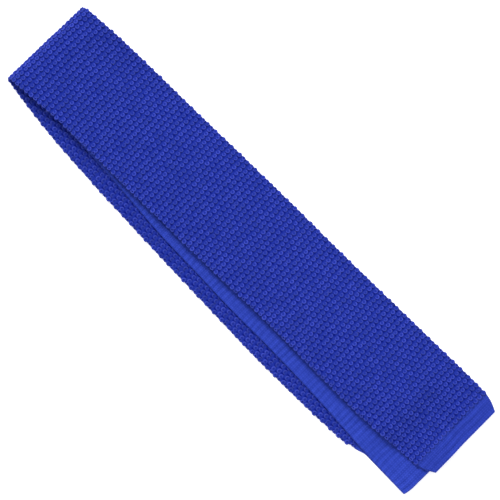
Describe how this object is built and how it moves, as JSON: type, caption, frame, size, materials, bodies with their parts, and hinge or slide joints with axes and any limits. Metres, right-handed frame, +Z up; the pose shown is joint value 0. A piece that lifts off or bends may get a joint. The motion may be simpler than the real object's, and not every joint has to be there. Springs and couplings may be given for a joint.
{
  "type": "knit tie, folded in four",
  "caption": "Knit necktie folded in four and laid flat: a crunchy knit blade with a square fine-knit hem over a smooth neck band and a hidden tail.",
  "frame": {"origin": "middle of the folded tie's footprint, on the surface that it lies on", "axes": "+X along the tie from the outer fold to the hems, +Y across it, +Z up from the surface"},
  "size_m": [0.369, 0.088, 0.0123],
  "materials": {
    "crunchy_knit": "royal blue yarn in an open, pebbly knit with a soft sheen",
    "fine_knit": "royal blue yarn in a close, smooth knit with faint cross ribs"
  },
  "bodies": {
    "root": {"blade": "crunchy_knit", "blade_hem": "fine_knit", "neck_band": "fine_knit", "tail": "crunchy_knit", "tail_hem": "fine_knit"}
  },
  "joints": []
}
